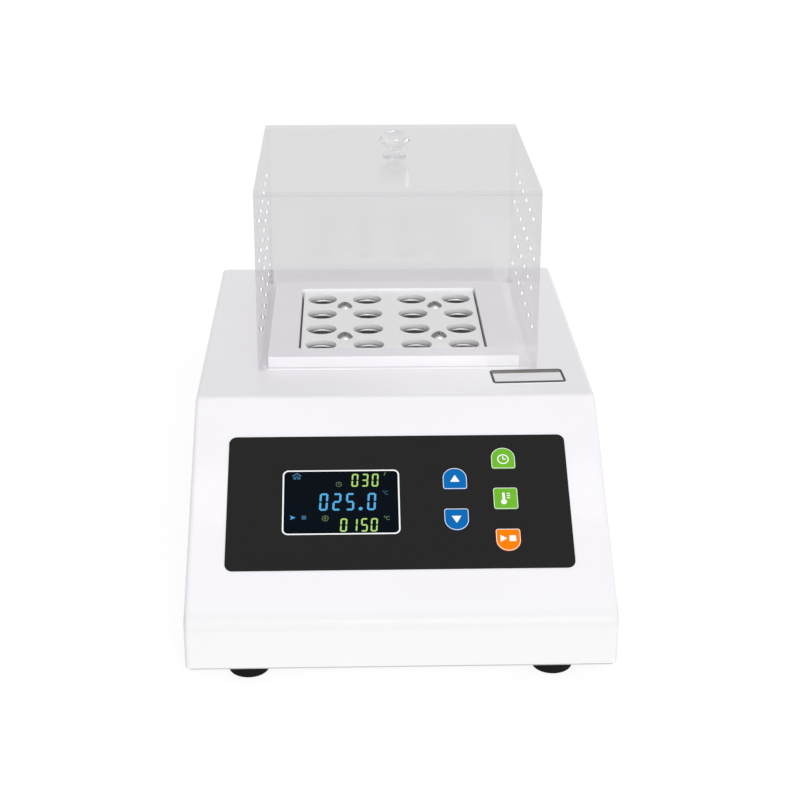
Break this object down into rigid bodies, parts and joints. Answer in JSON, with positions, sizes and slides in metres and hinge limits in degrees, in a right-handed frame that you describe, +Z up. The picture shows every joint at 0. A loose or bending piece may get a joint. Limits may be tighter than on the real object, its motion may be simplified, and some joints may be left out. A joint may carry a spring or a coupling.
{
  "type": "chemical oxygen demand reactor",
  "caption": "Bench dry-block digestion heater: white wedge casing with keys and display on its slope, a well block under a raised frame, and a clear lift-off cover with a knob.",
  "frame": {"origin": "centre of the footprint, on the bench under the feet", "axes": "+Z up, -Y is the front with the sloping panel, +X is the right side seen from the front"},
  "size_m": [0.24, 0.385, 0.2532],
  "materials": {
    "shell_white": "satin moulded",
    "plate_white": "satin",
    "sheet_steel": "plain",
    "panel_grey": "satin",
    "foot_rubber": "matt",
    "screw_steel": "bright",
    "block_aluminium": "machined",
    "heater_steel": "plain",
    "insulation_fibre": "fibrous",
    "film_black": "matt film",
    "lens_dark": "gloss",
    "key_blue": "satin",
    "key_green": "satin",
    "key_orange": "satin",
    "part_black": "plain",
    "board_green": "plain",
    "ribbon_grey": "plain",
    "terminal_green": "plain",
    "brass": "plain",
    "fuse_glass": "clear",
    "label_silver": "satin film",
    "clear_acrylic": "clear polished"
  },
  "bodies": {
    "base": {"upper_casing": "shell_white", "well_frame": "shell_white", "well_plate": "plate_white", "base_plate": "sheet_steel", "block_tray": "sheet_steel", "rear_panel": "panel_grey", "rubber_feet": "foot_rubber", "foot_screws": "screw_steel", "foot_nuts": "screw_steel", "frame_screws": "screw_steel", "plate_screws": "screw_steel", "block_screws": "screw_steel", "tray_pillars": "screw_steel", "pillar_nuts": "screw_steel", "pillar_screws": "screw_steel", "base_screws": "screw_steel", "board_screws": "screw_steel", "power_board_screws": "screw_steel", "relay_screws": "screw_steel", "panel_screws": "screw_steel", "inlet_screws": "screw_steel", "block_spacers": "screw_steel", "heating_block": "block_aluminium", "cartridge_heaters": "heater_steel", "temperature_probe": "heater_steel", "insulation_jacket": "insulation_fibre", "front_overlay": "film_black", "display_window": "lens_dark", "display_module": "part_black", "switch_housings": "part_black", "control_chips": "part_black", "buzzer": "part_black", "ribbon_connectors": "part_black", "transformer": "part_black", "solid_state_relay": "part_black", "power_inlet": "part_black", "power_switch": "part_black", "thermal_cutout": "part_black", "control_board": "board_green", "power_board": "board_green", "ribbon_cable": "ribbon_grey", "terminal_block": "terminal_green", "inlet_pins": "brass", "fuse_clips": "brass", "board_standoffs": "brass", "fuse": "fuse_glass", "blank_label": "label_silver"},
    "cover": {"cover_lid": "clear_acrylic", "cover_front": "clear_acrylic", "cover_back": "clear_acrylic", "cover_left": "clear_acrylic", "cover_right": "clear_acrylic", "cover_knob": "clear_acrylic"},
    "key_up": {"key_up": "key_blue"},
    "key_down": {"key_down": "key_blue"},
    "key_timer": {"key_timer": "key_green"},
    "key_temperature": {"key_temperature": "key_green"},
    "key_run": {"key_run": "key_orange"},
    "power_rocker": {"power_rocker": "part_black"}
  },
  "joints": [
    {"name": "cover_lift", "type": "slide", "parent": "base", "child": "cover", "axis": [0, 0, 1], "range_m": [0, 0.13]},
    {"name": "key_up_press", "type": "slide", "parent": "base", "child": "key_up", "axis": [0, 0.5369, -0.8437], "range_m": [0, 0.0005], "stiffness_N_per_m": 100, "springref_m": -0.003},
    {"name": "key_down_press", "type": "slide", "parent": "base", "child": "key_down", "axis": [0, 0.5369, -0.8437], "range_m": [0, 0.0005], "stiffness_N_per_m": 100, "springref_m": -0.003},
    {"name": "key_timer_press", "type": "slide", "parent": "base", "child": "key_timer", "axis": [0, 0.5369, -0.8437], "range_m": [0, 0.0005], "stiffness_N_per_m": 100, "springref_m": -0.003},
    {"name": "key_temperature_press", "type": "slide", "parent": "base", "child": "key_temperature", "axis": [0, 0.5369, -0.8437], "range_m": [0, 0.0005], "stiffness_N_per_m": 100, "springref_m": -0.003},
    {"name": "key_run_press", "type": "slide", "parent": "base", "child": "key_run", "axis": [0, 0.5369, -0.8437], "range_m": [0, 0.0005], "stiffness_N_per_m": 100, "springref_m": -0.003},
    {"name": "power_rocker_tip", "type": "hinge", "parent": "base", "child": "power_rocker", "pos_m": [0.005, 0.1865, 0.0654], "axis": [1, 0, 0], "range_deg": [0, 24]}
  ]
}
